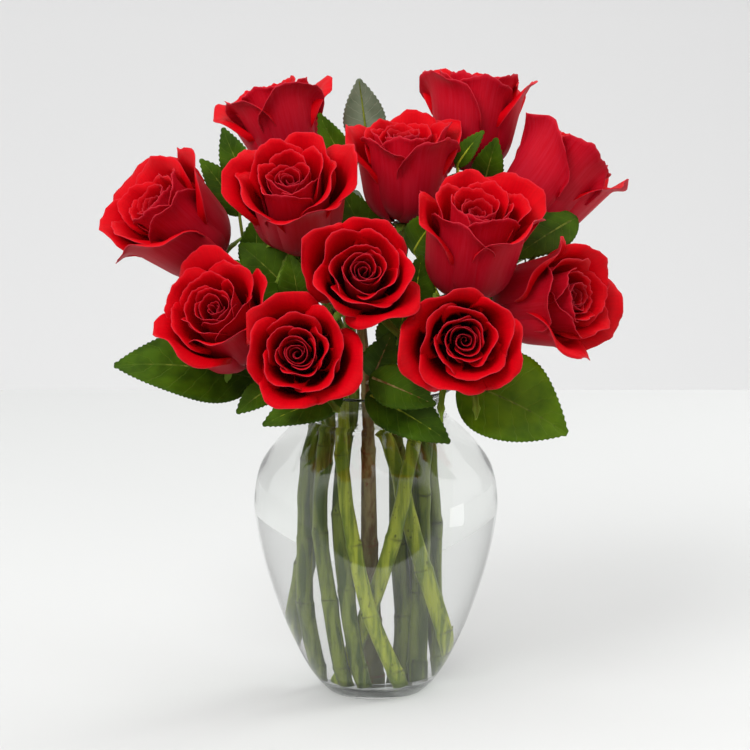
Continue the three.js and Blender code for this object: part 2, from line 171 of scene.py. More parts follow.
FLOWERS = Vector((0, 0, 0.25))
soft_light("window", Vector((-1.0, -1.6, 1.9)), FLOWERS, 1.3, 44)
soft_light("lamp behind", Vector((1.3, 0.9, 1.5)), FLOWERS, 0.7, 14)
for across in (-2.3, 0, 2.3):
    soft_light("wall light", Vector((across, 1.7, -1.1)), Vector((across, WALL_Y, -0.1)), 1.5, 10)
soft_light("front fill", Vector((0.4, -2.6, 1.0)), FLOWERS, 2.0, 16)

SHOULDER = Vector((0.05, -0.055, 0.128))
CARD = SHOULDER + Vector((0.29, -0.045, -0.051))
soft_light("card for the highlight", CARD, SHOULDER, 0.1, 0.07, only_gloss=True)

world = bpy.data.worlds.new("room")
bpy.context.scene.world = world
world.use_nodes = True
background = world.node_tree.nodes["Background"]
background.inputs["Color"].default_value = linear("#f2f2f2")
toward = add(world, "SeparateXYZ", Vector=add(world, "TexCoord").outputs["Generated"])
glow = add(
    world, "MapRange", Value=toward.outputs["Y"], From_Min=-0.62, From_Max=-0.42, To_Min=0.28, To_Max=1.12
)
world.node_tree.links.new(glow.outputs["Result"], background.inputs["Strength"])
bpy.context.scene.view_settings.view_transform = "Standard"
bpy.context.scene.cycles.use_denoising = True

# ---------------------------------------------------------------------------
# Vase. Blown clear glass with a flat foot, full shoulders, a pinched neck and a flared lip,
# its wall thin and its floor thick.
# ---------------------------------------------------------------------------
VASE_HEIGHT = 197
FLOOR_THICKNESS = 8
WALL = 3.2
VASE_OUTLINE = [
    (31, 0), (38, 7), (47.5, 22), (60, 50), (71, 84), (76.6, 113), (76.6, 130), (72, 147.5),
    (59, 164.5), (46, 176.5), (41, 186), (49, VASE_HEIGHT),
]
ROUND_STEPS = 144


def smooth_line(points, per_span):
    """More points on a smooth line through the points given, in the plane of the profile."""
    line = []
    for i in range(len(points) - 1):
        before, start, end, after = (
            Vector(points[min(max(j, 0), len(points) - 1)]) for j in (i - 1, i, i + 1, i + 2)
        )
        for k in range(per_span):
            t = k / per_span
            line.append(
                0.5
                * (
                    2 * start
                    + (end - before) * t
                    + (2 * before - 5 * start + 4 * end - after) * t**2
                    + (3 * start - before - 3 * end + after) * t**3
                )
            )
    return line + [Vector(points[-1])]


def spun(profile, steps):
    """A bmesh of a profile of (radius, height) turned once round the Z axis."""
    bm = bmesh.new()
    verts = [bm.verts.new((radius, 0, height)) for radius, height in profile]
    edges = [bm.edges.new(pair) for pair in zip(verts, verts[1:])]
    bmesh.ops.spin(
        bm, geom=verts + edges, cent=(0, 0, 0), axis=(0, 0, 1), angle=2 * math.pi, steps=steps, use_merge=True
    )
    bmesh.ops.remove_doubles(bm, verts=bm.verts, dist=1e-4)
    bmesh.ops.recalc_face_normals(bm, faces=bm.faces)
    return bm


# Clear soda glass: bright edges, sharp reflections, and light let through to the table behind it.
def clear_material(name, colour, ior):
    material, surface = new_material(name)
    body = add(
        material, "BsdfPrincipled", Base_Color=linear(colour), Roughness=0.0, IOR=ior, Transmission_Weight=1.0
    )
    clear = add(material, "BsdfTransparent", Color=linear(colour))
    rays = add(material, "LightPath")
    mix = add(
        material, "MixShader", _0=rays.outputs["Is Shadow Ray"], _1=body.outputs[0], _2=clear.outputs[0]
    )
    material.node_tree.links.new(mix.outputs[0], surface)
    return material


outside = smooth_line(VASE_OUTLINE, 8)
inside = [(r - WALL, z) for r, z in outside if z > FLOOR_THICKNESS + 5]
floor_corner = smooth_line([(28, FLOOR_THICKNESS), (34, FLOOR_THICKNESS + 1.6), inside[0]], 5)[:-1]
lip = [(48.6, VASE_HEIGHT), (47.4, VASE_HEIGHT)]
vase_profile = (
    [(0, 0), (27, 0)]
    + [tuple(p) for p in outside[:-1]]
    + [(49, VASE_HEIGHT - 1)]
    + lip
    + [(46, VASE_HEIGHT - 1)]
    + inside[::-1][1:]
    + [tuple(p) for p in floor_corner[::-1]]
    + [(0, FLOOR_THICKNESS)]
)
vase_mesh = spun(vase_profile, ROUND_STEPS)
vase = finish_piece("glass_vase", vase_mesh, [clear_material("blown clear glass", "#fdfefd", 1.5)])
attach(vase, "root")
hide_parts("vase")

# ---------------------------------------------------------------------------
# Water. Still tap water up to just under the neck. It wets the glass, so its skin lies a hair
# inside the wall and light meets glass and water with no air between.
# ---------------------------------------------------------------------------
WATER_LEVEL = 176
WETTING = 0.25

wet_wall = [(r + WETTING, z) for r, z in inside if z < WATER_LEVEL - 1]
rim_radius = next(r for r, z in inside[::-1] if z <= WATER_LEVEL)
wet_floor = [(r + WETTING * 0.5, z - WETTING) for r, z in floor_corner]
water_profile = (
    [(0, FLOOR_THICKNESS - WETTING)]
    + wet_floor
    + wet_wall
    + [(rim_radius + WETTING, WATER_LEVEL + 0.9), (rim_radius - 1.2, WATER_LEVEL + 0.15)]
    + [(rim_radius - 3, WATER_LEVEL), (0, WATER_LEVEL)]
)
still_water = clear_material("still water", "#fefefe", 1.33)
water = finish_piece("water", spun(water_profile, ROUND_STEPS), [still_water])
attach(water, "root")
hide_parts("water")

# ---------------------------------------------------------------------------
# Rose heads. Each is some twenty soft petals in a spiral, rolled tight at the heart and curling
# back at the outside, grown on a green hip. The rims keep within the box of the head's solid.
# ---------------------------------------------------------------------------
LAST_RANK = 20
HEAD_HALF = 28
PETAL_THICKNESS = 0.35
PETAL_COLUMNS = 28
PETAL_ROWS = 22
STEPS_A_ROW = 3
GOLDEN_ANGLE = 137.5
RIM_JAGS = 0.011

# middle: centre of the head. faces: the way it looks. open: 0 a bud, 1 full blown.
# foot: where its stem is cut. neck: (x, y) where it passes the vase's neck. bow: how far its middle strays
# from the straight line between them, as (x, y).
ROSES = {
    "top_left": dict(
        middle=(-62, 57, 356.5), faces=(-0.3, 0.1, 0.95), size=1.04, open=0.9, turn=20, seed=1,
        foot=(-38, 12, 32), neck=(-17, 24), bow=(0, 0),
    ),
    "top_right": dict(
        middle=(63, 58, 358.5), faces=(0.1, 0.1, 0.99), size=1.2, open=0.45, turn=78, seed=2,
        foot=(8, 25, 9.4), neck=(19, 24), bow=(4, 0),
    ),
    "top_middle": dict(
        middle=(18, 8, 331), faces=(0, -0.17, 0.98), size=1.16, open=0.25, turn=30, seed=3,
        foot=(12, 8, 9.4), neck=(6, 10), bow=(2, -2),
    ),
    "upper_left": dict(
        middle=(-51, -25, 315), faces=(-0.1, -0.62, 0.78), size=1.24, open=0.42, turn=10, seed=4,
        foot=(-6, -27, 9.4), neck=(-14, -6), bow=(-7, 1),
    ),
    "upper_right": dict(
        middle=(60, -42, 293), faces=(0.12, -0.42, 0.9), size=1.3, open=0.25, turn=50, seed=5,
        foot=(38, -4, 28), neck=(-2, -9), bow=(0, 0),
    ),
    "far_left": dict(
        middle=(-124, 8, 297), faces=(-0.66, -0.4, 0.66), size=1.28, open=0.5, turn=100, seed=6,
        foot=(-27, 4, 9.4), neck=(-30, 0), bow=(-6, -4),
    ),
    "far_right": dict(
        middle=(110, 28, 319), faces=(0.62, 0.1, 0.78), size=1.33, open=0.3, turn=90, seed=7,
        foot=(29, 8, 12), neck=(28, 13), bow=(-4, 5),
    ),
    "centre": dict(
        middle=(-8, -73, 276), faces=(0.05, -0.9, 0.42), size=1.09, open=0.45, turn=160, seed=8,
        foot=(-1, 19, 9.4), neck=(-5, -29), bow=(0, 0),
    ),
    "lower_right": dict(
        middle=(106, -22, 254), faces=(0.76, -0.62, 0.2), size=1.22, open=0.45, turn=25, seed=9,
        foot=(20, 2, 9.4), neck=(30, -6), bow=(-4, 6),
    ),
    "lower_left": dict(
        middle=(-93, -37, 242), faces=(-0.3, -0.72, 0.6), size=1.2, open=0.37, turn=80, seed=10,
        foot=(-16, -22, 9.4), neck=(-28, -12), bow=(-5, -1),
    ),
    "front_right": dict(
        middle=(52, -80, 240), faces=(0.05, -0.98, 0.15), size=1.05, open=0.54, turn=192, seed=11,
        foot=(-20, -11, 9.4), neck=(27, -16), bow=(3, -2.5),
    ),
    "front_left": dict(
        middle=(-46, -84, 231), faces=(-0.05, -0.95, 0.28), size=1.06, open=0.55, turn=341, seed=12,
        foot=(14, -24, 9.4), neck=(-20, -24), bow=(-8, -3),
    ),
}


def ease(x):
    """0 to 1, slow at both ends."""
    t = min(1, max(0, x))
    return t * t * (3 - 2 * t)


def draw(seed, index):
    """A fixed draw from -1 to 1 for each seed and index."""
    wave = math.sin(seed * 12.9898 + index * 78.233) * 43758.5453
    return 2 * (wave - math.floor(wave)) - 1


def petal_makeup(rose, rank):
    """One petal's make-up. Rank 0 is the outermost; out runs from 0 at the heart to 1 at the outside."""
    out = 1 - rank / LAST_RANK
    guard = max(0, 2 * out - 1)
    heart = 1 - min(1, 2 * out)
    size, blown = rose["size"], rose["open"]

    def luck(index):
        return draw(rose["seed"], rank * 7 + index)

    return dict(
        azimuth=math.radians(rose["turn"] + GOLDEN_ANGLE * rank + 9 * luck(0)),
        half=math.radians(66 + 95 * heart + 6 * luck(1)),
        narrowing=0.14 * min(1, 1.6 * out),
        length=(38 + 23 * out**0.9 + 3 * guard) * size * (1 + 0.035 * luck(2)),
        shoulder=0.22 + 0.16 * guard,
        tip=0.02 + 0.09 * guard,
        root=((1.2 + 4.5 * out) * size, 7 * (1 - out) * size),
        base=14 + 62 * out**0.8,
        cup=0.3 + 0.16 * out,
        side=-2 + 9 * out * (1 - guard) + 5 * guard + 14 * blown * guard**1.2 + 2.2 * luck(3),
        lip=6 + 26 * out + 52 * blown * guard**1.1 + 9 * luck(4) * out,
        corner=(8 + 12 * out + 38 * guard) * (0.5 + 0.6 * blown),
        curl_from=0.86 - 0.14 * guard,
        ripple=2 + 14 * out,
        phase=3.1 * luck(5),
        spiral=(1.1 + 0.7 * out) * size,
        point=0.02 + 0.07 * guard,
        wave=(0.35 + 1.2 * out) * size,
        fold=3.1 * luck(6),
        depth=heart,
    )


def petal_column(petal, u):
    """(distance from the head's axis, height) up one line of the petal, by its changing lean."""
    reach = abs(u)
    rounding = 1 - math.sqrt(max(0, 1 - reach**3))
    length = petal["length"] * (1 - petal["shoulder"] * rounding - petal["tip"] * reach**1.1)
    length *= 1 + RIM_JAGS * (math.sin(11 * u + 4 * petal["phase"]) + 0.6 * math.sin(27 * u + petal["fold"]))
    curl_from = petal["curl_from"] - 0.1 * u * u
    lip = petal["lip"] + petal["corner"] * reach**1.5
    lip += petal["ripple"] * math.sin(2.2 * math.pi * u + petal["phase"])
    r, z = petal["root"]
    column = [(r, z)]
    step = length / (PETAL_ROWS * STEPS_A_ROW)
    for i in range(PETAL_ROWS * STEPS_A_ROW):
        s = (i + 0.5) / (PETAL_ROWS * STEPS_A_ROW)
        lean = petal["base"] + (petal["side"] - petal["base"]) * ease(s / petal["cup"])
        lean += (lip - lean) * ease((s - curl_from) / (1.02 - curl_from))
        r += step * math.sin(math.radians(lean))
        z += step * math.cos(math.radians(lean))
        if (i + 1) % STEPS_A_ROW == 0:
            column.append((r, z))
    return column


def add_petal(bm, uv_layer, petal):
    """One petal as a sheet, bent up from a flat grid, with its own (across, along) map."""
    depth_layer = bm.verts.layers.float["depth"]
    grid = bmesh.ops.create_grid(bm, x_segments=PETAL_COLUMNS, y_segments=PETAL_ROWS, size=1)
    flat = {vertex: (vertex.co.x, (vertex.co.y + 1) / 2) for vertex in grid["verts"]}
    columns = {}
    for vertex, (u, s) in flat.items():
        vertex[depth_layer] = petal["depth"]
        key = round(u, 4)
        if key not in columns:
            columns[key] = petal_column(petal, u)
        r, z = columns[key][round(s * PETAL_ROWS)]
        grown = ease(s / 0.3)
        r = (r + petal["spiral"] * u * grown) * (1 - petal["point"] * u * u * grown)
        r += petal["wave"] * s * s * math.sin(1.4 * math.pi * u + petal["fold"])
        angle = petal["azimuth"] + u * petal["half"] * (1 - petal["narrowing"] * ease((s - 0.55) / 0.5))
        vertex.co = (r * math.cos(angle), r * math.sin(angle), z)
    for face in {face for vertex in flat for face in vertex.link_faces}:
        for loop in face.loops:
            u, s = flat[loop.vert]
            loop[uv_layer].uv = ((u + 1) / 2, s)


# Rose petal: a saturated velvet red, streaked along its length by fine veins. A deeper red is painted
# at its foot and in the heart as shade, and a thin paler rim is painted on as a highlight.
def petal_material(name, body, edge, foot, streak, sheen):
    material, surface = new_material(name)
    place = add(material, "UVMap", {"uv_map": "petal"})
    axes = add(material, "SeparateXYZ", Vector=place.outputs["UV"])
    streaks = add(material, "Mapping", Vector=place.outputs["UV"], Scale=(46, 3, 1))
    grain = add(material, "TexNoise", Vector=streaks.outputs["Vector"], Scale=1.0, Detail=3.0, Roughness=0.6)
    shade = add(
        material, "MapRange", Value=grain.outputs["Fac"], From_Min=0.35, From_Max=0.7, To_Min=0.0, To_Max=0.28
    )
    # Painted highlight: the last sliver of the petal at its rim is lightened, as where light catches the edge.
    rim_highlight_band = add(
        material, "MapRange", Value=axes.outputs["Y"], From_Min=0.985, From_Max=1.0, To_Min=0.0, To_Max=0.28
    )
    # Painted shade: the petal darkens towards its foot, where shade falls between the petals.
    foot_shade_band = add(
        material, "MapRange", Value=axes.outputs["Y"], From_Min=0.7, From_Max=0.15, To_Min=0.0, To_Max=0.9
    )
    veined = add(
        material, "Mix", {"data_type": "RGBA"}, Factor=shade.outputs["Result"], _6=linear(body), _7=linear(streak)
    )
    # Painted shade: petals of the heart are darkened by how deep in the heart they lie.
    depth = add(material, "Attribute", {"attribute_name": "depth"})
    heart = add(material, "Math", {"operation": "MULTIPLY"}, _0=depth.outputs["Fac"], _1=0.75)
    deep = add(material, "Math", {"operation": "MAXIMUM"}, _0=foot_shade_band.outputs["Result"], _1=heart.outputs[0])
    with_painted_shade = add(
        material, "Mix", {"data_type": "RGBA"}, Factor=deep.outputs[0], _6=veined.outputs[2], _7=linear(foot)
    )
    # The painted rim highlight is weaker on the shaded petals of the heart.
    highlight_outside_heart = add(material, "MapRange", Value=depth.outputs["Fac"], To_Min=1.0, To_Max=0.45)
    rim = add(
        material,
        "Math",
        {"operation": "MULTIPLY"},
        _0=rim_highlight_band.outputs["Result"],
        _1=highlight_outside_heart.outputs["Result"],
    )
    with_painted_highlight = add(
        material, "Mix", {"data_type": "RGBA"}, Factor=rim.outputs[0], _6=with_painted_shade.outputs[2], _7=linear(edge)
    )
    shader = add(
        material,
        "BsdfPrincipled",
        Base_Color=with_painted_highlight.outputs[2],
        Roughness=0.55,
        Specular_IOR_Level=0.12,
        Sheen_Weight=sheen,
        Sheen_Roughness=0.4,
        Sheen_Tint=linear("#ff3040"),
    )
    material.node_tree.links.new(shader.outputs[0], surface)
    return material


# In each petal skin the second colour is the painted rim highlight, and the third the painted shade at the foot
# and in the heart.
petal_face = petal_material("rose petal, upper side", "#d00010", "#ee4454", "#70000a", "#a8000c", 0.0)
petal_back = petal_material("rose petal, underside", "#b8061c", "#e04c5c", "#80081c", "#cc3048", 0.1)


def head_turn(rose):
    """How a head is turned from upright."""
    return Vector((0, 0, 1)).rotation_difference(Vector(rose["faces"]).normalized())


def head_foot(rose):
    """Where a head sits on its hip."""
    return Vector(rose["middle"]) - Vector(rose["faces"]).normalized() * HEAD_HALF * rose["size"]


for name, rose in ROSES.items():
    bloom_mesh = bmesh.new()
    petal_map = bloom_mesh.loops.layers.uv.new("petal")
    bloom_mesh.verts.layers.float.new("depth")
    for rank in range(LAST_RANK + 1):
        add_petal(bloom_mesh, petal_map, petal_makeup(rose, rank))
    bmesh.ops.rotate(bloom_mesh, cent=(0, 0, 0), matrix=head_turn(rose).to_matrix(), verts=bloom_mesh.verts)
    bmesh.ops.translate(bloom_mesh, vec=head_foot(rose), verts=bloom_mesh.verts)
    low, high = (Vector(corner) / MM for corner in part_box("bloom_" + name))
    for vertex in bloom_mesh.verts:
        spans = zip(vertex.co, low, high)
        vertex.co = [min(max(c, least + PETAL_THICKNESS), most - PETAL_THICKNESS) for c, least, most in spans]
    bloom = finish_piece("rose_head_" + name, bloom_mesh, [petal_back, petal_face])
    thick = bloom.modifiers.new("petal thickness", "SOLIDIFY")
    thick.thickness = PETAL_THICKNESS * MM
    thick.offset = 0
    thick.material_offset = 1
    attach(bloom, "root")
    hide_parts("bloom_" + name)

# ---------------------------------------------------------------------------
# Stems. Each is a cut green rod that stands on the vase's floor, leans across to the neck and
# bends out under its head, where it swells into the hip.
# ---------------------------------------------------------------------------
FOOT_RADIUS = 4.6
TOP_RADIUS = 3.1
NECK_Z = 186
STEM_SIDES = 18
BEND_POINTS = 26
WATER_POINTS = 30


def stem_line(rose):
    """The stem's middle line, from its cut foot to under the hip."""
    foot = Vector(rose["foot"])
    neck = Vector((*rose["neck"], NECK_Z))
    bow = Vector((*rose["bow"], 0))
    rise = (neck - foot - bow * 4).normalized()
    up_head = Vector(rose["faces"]).normalized()
    hip = head_foot(rose) - up_head * 15
    span = (hip - neck).length
    handles = [neck, neck + rise * span * 0.45, hip - up_head * span * 0.25, hip]
    line = []
    for i in range(WATER_POINTS):
        share = i / WATER_POINTS
        line.append(foot.lerp(neck, share) + bow * 4 * share * (1 - share))
    for i in range(BEND_POINTS + 1):
        t = i / BEND_POINTS
        weights = ((1 - t) ** 3, 3 * t * (1 - t) ** 2, 3 * t * t * (1 - t), t**3)
        line.append(sum((handle * weight for handle, weight in zip(handles, weights)), Vector()))
    return line


def add_tube(bm, points, radii, sides, scars=None):
    """A closed tube: a ring extruded from point to point, with a radius and a scar at each.

    A scar runs deepest on one side of its ring, and a negative one on the other side.
    """
    scar_layer = bm.verts.layers.float["scar"]
    circle = bmesh.ops.create_circle(bm, cap_ends=True, segments=sides, radius=1)["verts"]
    flat = [vertex.co.xy.copy() for vertex in circle]
    ring = circle
    side = Vector((1, 0, 0))
    for i, (point, radius) in enumerate(zip(points, radii)):
        along = (points[min(i + 1, len(points) - 1)] - points[max(i - 1, 0)]).normalized()
        side = (side - along * side.dot(along)).normalized()
        up = along.cross(side)
        if i:
            edges = [bm.edges.get((a, b)) for a, b in zip(ring, ring[1:] + ring[:1])]
            extruded = bmesh.ops.extrude_edge_only(bm, edges=edges)["geom"]
            fresh = {e for e in extruded if isinstance(e, bmesh.types.BMVert)}
            ring = [next(e.other_vert(v) for e in v.link_edges if e.other_vert(v) in fresh) for v in ring]
        for vertex, spot in zip(ring, flat):
            vertex.co = point + (side * spot.x + up * spot.y) * radius
            scar = scars[i] if scars else 0
            vertex[scar_layer] = abs(scar) * 0.5 + scar * 0.5 * spot.x
    bm.faces.new(ring)


# Rose stem: a waxy skin in long streaks of two greens, with brown freckles and dark scars at the
# nodes. Old wood is brown above and greener near its foot.
def stem_material(name, deep, pale, scar, foot=None):
    material, surface = new_material(name)
    place = add(material, "TexCoord")
    streaks = add(material, "Mapping", Vector=place.outputs["Object"], Scale=(260, 260, 26))
    grain = add(material, "TexNoise", Vector=streaks.outputs["Vector"], Scale=1.0, Detail=3.0)
    shade = add(material, "MapRange", Value=grain.outputs["Fac"], From_Min=0.4, From_Max=0.6)
    green = add(
        material, "Mix", {"data_type": "RGBA"}, Factor=shade.outputs["Result"], _6=linear(deep), _7=linear(pale)
    )
    tone = green.outputs[2]
    if foot:
        height = add(material, "SeparateXYZ", Vector=place.outputs["Object"])
        low = add(material, "MapRange", Value=height.outputs["Z"], From_Min=0.12, From_Max=0.06, To_Max=0.7)
        tone = add(
            material, "Mix", {"data_type": "RGBA"}, Factor=low.outputs["Result"], _6=tone, _7=linear(foot)
        ).outputs[2]
    freckles = add(material, "TexNoise", Vector=place.outputs["Object"], Scale=420.0, Detail=2.0)
    spots = add(
        material, "MapRange", Value=freckles.outputs["Fac"], From_Min=0.64, From_Max=0.72, To_Min=0.0, To_Max=0.6
    )
    ring = add(material, "Attribute", {"attribute_name": "scar"})
    marks = add(material, "Math", {"operation": "MAXIMUM"}, _0=spots.outputs["Result"], _1=ring.outputs["Fac"])
    skin = add(
        material, "Mix", {"data_type": "RGBA"}, Factor=marks.outputs[0], _6=tone, _7=linear(scar)
    )
    shader = add(
        material, "BsdfPrincipled", Base_Color=skin.outputs[2], Roughness=0.45, Specular_IOR_Level=0.25
    )
    material.node_tree.links.new(shader.outputs[0], surface)
    return material


fresh_skin = stem_material("fresh green rose stem", "#6c8010", "#b0ba34", "#40400e")
# Painted shade: the stems not listed below take this darker copy of the green skin, for the shade of the water
# and glass around them.
shaded_stem_skin = stem_material("green rose stem, darkened as painted shade", "#3e500c", "#76842c", "#2c2c0c")
woody_skin = stem_material("woody rose stem", "#6a4a20", "#948250", "#7a2410", "#4e5c1a")
STEM_SKINS = {
    "front_left": fresh_skin,
    "front_right": fresh_skin,
    "upper_right": fresh_skin,
    "centre": woody_skin,
}

# ---------------------------------------------------------------------------
# Leaves. Serrated leaflets on thin stalks, dark and waxy above with pale sunk veins,
# and grey-green and dull beneath.
# ---------------------------------------------------------------------------
LEAF_THICKNESS = 0.45
LEAF_COLUMNS = 14
TOOTH_PITCH = 2.7
TOOTH_DEPTH = 0.6
LEAF_FOLD = 0.18
LEAF_ARCH = 0.1
VEIN_PAIRS = 8

# rose: the stem it grows on. from: where on that stem's bend its stalk leaves, 0 to 5.
# base and tip: the ends of its blade. face: the way its upper side looks. width: at its widest.
LEAVES = [
    dict(rose="top_middle", start=4, base=(-5, 62, 340), tip=(-11, 70, 383), face=(0, 1, -0.1), width=27),
    dict(rose="top_left", start=4, base=(-14, 42, 326), tip=(-36, 40, 364), face=(-0.5, -0.7, 0.5), width=20),
    dict(rose="top_left", start=3, base=(-76, 14, 316), tip=(-96, 20, 357), face=(-0.3, -0.9, 0.2), width=22),
    dict(rose="far_left", start=4, base=(-86, 44, 298), tip=(-112, 46, 334), face=(0, -0.8, 0.6), width=21),
    dict(rose="upper_left", start=2, base=(-46, 0, 248), tip=(-86, 16, 284), face=(0, -0.9, 0.45), width=36),
    dict(
        rose="lower_left", start=4, base=(-46, -38, 250), tip=(-53, -36, 285),
        face=(0.1, -0.95, 0.3), width=24,
    ),
    dict(rose="lower_left", start=3, base=(-75, 2, 200), tip=(-164, -10, 211), face=(0, -0.8, 0.6), width=50),
    dict(
        rose="lower_left", start=2, base=(-62, -34, 203), tip=(-86, -42, 187),
        face=(0, -0.8, 0.6), width=17,
    ),
    dict(
        rose="front_left", start=2, base=(-20, -58, 201), tip=(-69, -68, 185),
        face=(0, -0.8, 0.6), width=26,
    ),
    dict(
        rose="front_right", start=2, base=(-6, -60, 203), tip=(45, -72, 175),
        face=(0, -0.85, 0.5), width=32,
    ),
    dict(rose="centre", start=1, base=(-4, -72, 216), tip=(36, -80, 200), face=(0, -0.95, 0.3), width=26),
    dict(
        rose="lower_right", start=2, base=(51, -34, 206), tip=(118, -46, 175),
        face=(0.1, -0.85, 0.5), width=60,
    ),
    dict(rose="lower_right", start=4, base=(126, 8, 302), tip=(84, -4, 277), face=(0, -0.9, 0.4), width=26),
    dict(
        rose="upper_right", start=4, base=(23, -4, 281), tip=(41, -16, 309),
        face=(-0.2, -0.9, 0.4), width=24,
    ),
    dict(rose="far_right", start=4, base=(68, 36, 317), tip=(76, 26, 350), face=(0, -0.9, 0.4), width=20),
    dict(rose="upper_right", start=4, base=(50, 4, 334), tip=(67, 2, 357), face=(0, -0.8, 0.6), width=12),
    dict(
        rose="upper_right", start=3, base=(23, -25, 247), tip=(28, -34, 285),
        face=(0, -0.95, 0.3), width=24,
    ),
    dict(rose="top_middle", start=2, base=(4, 32, 264), tip=(-24, 32, 320), face=(0, -0.95, 0.3), width=30),
    dict(rose="far_left", start=4, base=(-76, 24, 262), tip=(-75, 26, 302), face=(0, -0.95, 0.3), width=22),
    dict(
        rose="upper_right", start=2, base=(11, -38, 222), tip=(20, -44, 262),
        face=(0, -0.95, 0.3), width=28,
    ),
    dict(rose="centre", start=2, base=(-2, -58, 212), tip=(10, -64, 242), face=(0, -0.95, 0.3), width=22),
    dict(
        rose="far_left", start=3, base=(-80, 40, 250), tip=(-128, 60, 262),
        face=(-0.2, 0.6, 0.75), width=32,
    ),
    dict(rose="top_left", start=2, base=(-52, 62, 262), tip=(-84, 96, 280), face=(-0.2, 0.8, 0.6), width=32),
    dict(rose="top_right", start=2, base=(40, 66, 262), tip=(52, 108, 276), face=(0, 0.7, 0.7), width=32),
    dict(rose="top_middle", start=3, base=(0, 60, 282), tip=(-16, 98, 306), face=(0, 0.7, 0.7), width=30),
    dict(rose="far_right", start=3, base=(84, 52, 262), tip=(124, 80, 268), face=(0.3, 0.6, 0.75), width=34),
    dict(rose="top_left", start=1, base=(-34, 56, 216), tip=(-66, 92, 212), face=(-0.2, 0.7, 0.7), width=32),
    dict(rose="top_right", start=1, base=(34, 56, 216), tip=(56, 96, 214), face=(0.2, 0.7, 0.7), width=32),
]


def leaf_frame(leaf):
    """The blade's length and its directions along, across and out of its upper side."""
    along = Vector(leaf["tip"]) - Vector(leaf["base"])
    length = along.length
    along.normalize()
    face = Vector(leaf["face"])
    face = (face - along * face.dot(along)).normalized()
    return length, along, along.cross(face), face


def leaf_point(leaf, u, s):
    """A point of the blade, u across from -1 to 1 and s along from its base."""
    length, along, across, face = leaf_frame(leaf)
    half = 0.5 * leaf["width"] * max(0.04, math.sin(math.pi * s**0.72)) ** 0.85
    wave = 0.05 * half * math.sin(9 * s + 4 * u) * abs(u)
    lift = 4 * LEAF_ARCH * length * s * (1 - s) + LEAF_FOLD * half * abs(u) + wave
    return Vector(leaf["base"]) + along * length * s + across * u * half + face * lift


def add_leaf(bm, uv_layer, leaf, slot):
    """One toothed blade, bent up from a flat grid, whose faces look out of the upper side."""
    length, along, across, face = leaf_frame(leaf)
    teeth = max(5, round(length / TOOTH_PITCH))
    rows = 2 * teeth
    grid = bmesh.ops.create_grid(bm, x_segments=LEAF_COLUMNS, y_segments=rows, size=1)
    flat = {vertex: (vertex.co.x, (vertex.co.y + 1) / 2) for vertex in grid["verts"]}
    for vertex, (u, s) in flat.items():
        vertex.co = leaf_point(leaf, u, s)
        row = round(s * rows)
        if abs(u) > 0.99 and row % 2 and row < rows:
            vertex.co += across * math.copysign(TOOTH_DEPTH, u) + along * TOOTH_DEPTH * 0.7
        branch = (s * VEIN_PAIRS - abs(u) * 1.5) % 1
        vertex.co -= face * 0.35 * max(0, 1 - min(branch, 1 - branch) * 5) * (1 - abs(u))
    for face_ in {face_ for vertex in flat for face_ in vertex.link_faces}:
        face_.material_index = slot
        for loop in face_.loops:
            u, s = flat[loop.vert]
            loop[uv_layer].uv = ((u + 1) / 2, s)


# Rose leaf: a thick waxy blade. The veins show as fine pale lines that run out from the midrib.
def leaf_material(name, body, deep, vein, roughness, vein_strength):
    material, surface = new_material(name)
    place = add(material, "UVMap", {"uv_map": "leaf"})
    axes = add(material, "SeparateXYZ", Vector=place.outputs["UV"])
    centred = add(material, "Math", {"operation": "MULTIPLY_ADD"}, _0=axes.outputs["X"], _1=2.0, _2=-1.0)
    across = add(material, "Math", {"operation": "ABSOLUTE"}, _0=centred.outputs[0])
    drawn_back = add(material, "Math", {"operation": "MULTIPLY"}, _0=across.outputs[0], _1=-1.5)
    branch = add(
        material,
        "Math",
        {"operation": "MULTIPLY_ADD"},
        _0=axes.outputs["Y"],
        _1=float(VEIN_PAIRS),
        _2=drawn_back.outputs[0],
    )
    wobble = add(material, "TexNoise", Vector=place.outputs["UV"], Scale=9.0, Detail=1.0)
    bent = add(
        material, "Math", {"operation": "MULTIPLY_ADD"}, _0=wobble.outputs["Fac"], _1=0.35, _2=branch.outputs[0]
    )
    saw = add(material, "Math", {"operation": "PINGPONG"}, _0=bent.outputs[0], _1=0.5)
    side_vein = add(
        material, "MapRange", Value=saw.outputs[0], From_Min=0.0, From_Max=0.055, To_Min=1.0, To_Max=0.0
    )
    midrib = add(
        material, "MapRange", Value=across.outputs[0], From_Min=0.015, From_Max=0.05, To_Min=1.0, To_Max=0.0
    )
    veins = add(
        material, "Math", {"operation": "MAXIMUM"}, _0=side_vein.outputs["Result"], _1=midrib.outputs["Result"]
    )
    strength = add(material, "Math", {"operation": "MULTIPLY"}, _0=veins.outputs[0], _1=vein_strength)
    blotch = add(
        material, "TexNoise", Vector=add(material, "TexCoord").outputs["Object"], Scale=70.0, Detail=3.0
    )
    patch = add(material, "MapRange", Value=blotch.outputs["Fac"], From_Min=0.35, From_Max=0.65)
    green = add(
        material, "Mix", {"data_type": "RGBA"}, Factor=patch.outputs["Result"], _6=linear(deep), _7=linear(body)
    )
    veined = add(
        material, "Mix", {"data_type": "RGBA"}, Factor=strength.outputs[0], _6=green.outputs[2], _7=linear(vein)
    )
    bump = add(material, "Bump", {"invert": True}, Height=veins.outputs[0], Strength=0.35, Distance=0.0006)
    shader = add(
        material,
        "BsdfPrincipled",
        Base_Color=veined.outputs[2],
        Roughness=roughness,
        Specular_IOR_Level=0.15,
        Normal=bump.outputs["Normal"],
    )
    material.node_tree.links.new(shader.outputs[0], surface)
    return material


